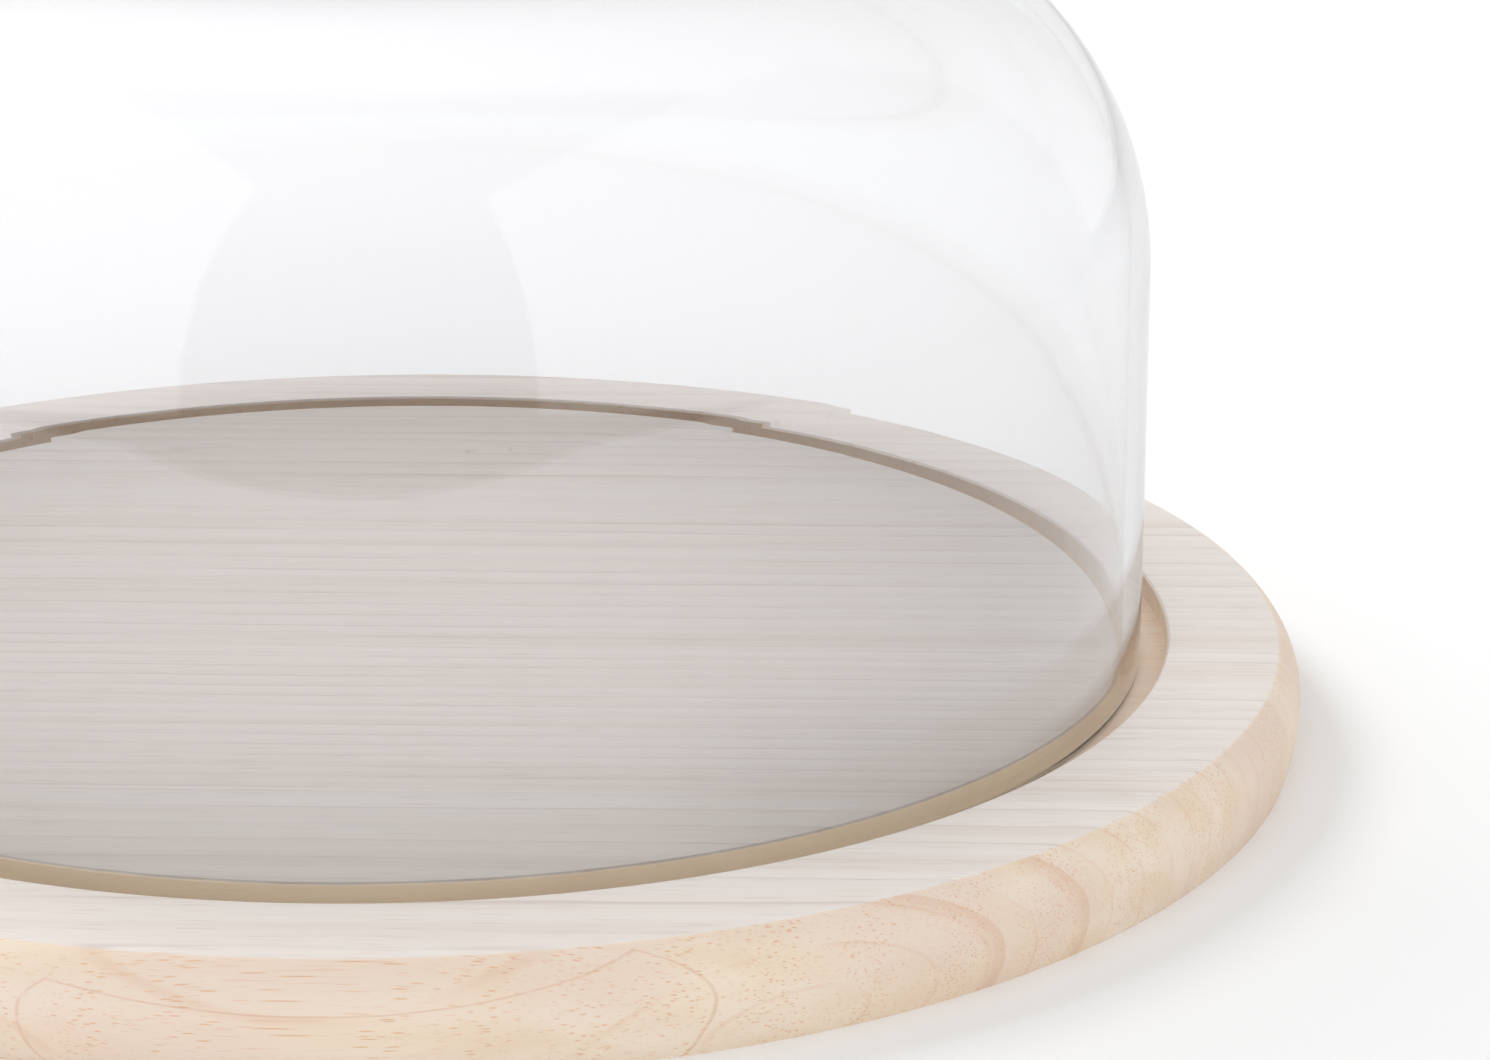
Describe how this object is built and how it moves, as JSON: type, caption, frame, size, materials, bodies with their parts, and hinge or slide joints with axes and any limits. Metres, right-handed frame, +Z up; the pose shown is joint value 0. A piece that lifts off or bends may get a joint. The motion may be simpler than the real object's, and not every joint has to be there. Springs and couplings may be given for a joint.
{
  "type": "cheese dome",
  "caption": "Round wooden serving board with a groove, a clear glass dome whose rim stands in it, and a turned wooden knob clamped through the glass by a screw.",
  "frame": {"origin": "middle of the board's underside, on the table", "axes": "+Z up along the dome's axis; +X along the board's grain and its glue joints; -Y towards the front stave"},
  "size_m": [0.3, 0.3, 0.1752],
  "materials": {
    "board_wood": "pale solid wood, top white-washed, groove and edge natural and oiled",
    "clear_glass": "clear, smooth",
    "knob_wood": "turned and oiled",
    "silicone": "translucent, matt",
    "bright_steel": "bright stainless",
    "brass": "turned"
  },
  "bodies": {
    "board": {"stave_1": "board_wood", "stave_2": "board_wood", "stave_3": "board_wood", "stave_4": "board_wood", "stave_5": "board_wood"},
    "dome": {"glass_dome": "clear_glass"},
    "knob_set": {"outer_gasket": "silicone", "inner_gasket": "silicone", "washer": "bright_steel", "knob_screw": "bright_steel", "knob_insert": "brass", "knob": "knob_wood"}
  },
  "joints": [
    {"name": "dome_lift", "type": "slide", "parent": "board", "child": "dome", "axis": [0, 0, 1], "range_m": [0, 0.2]},
    {"name": "knob_turn", "type": "hinge", "parent": "dome", "child": "knob_set", "pos_m": [0, 0, 0.1407], "axis": [0, 0, 1], "continuous": true}
  ]
}
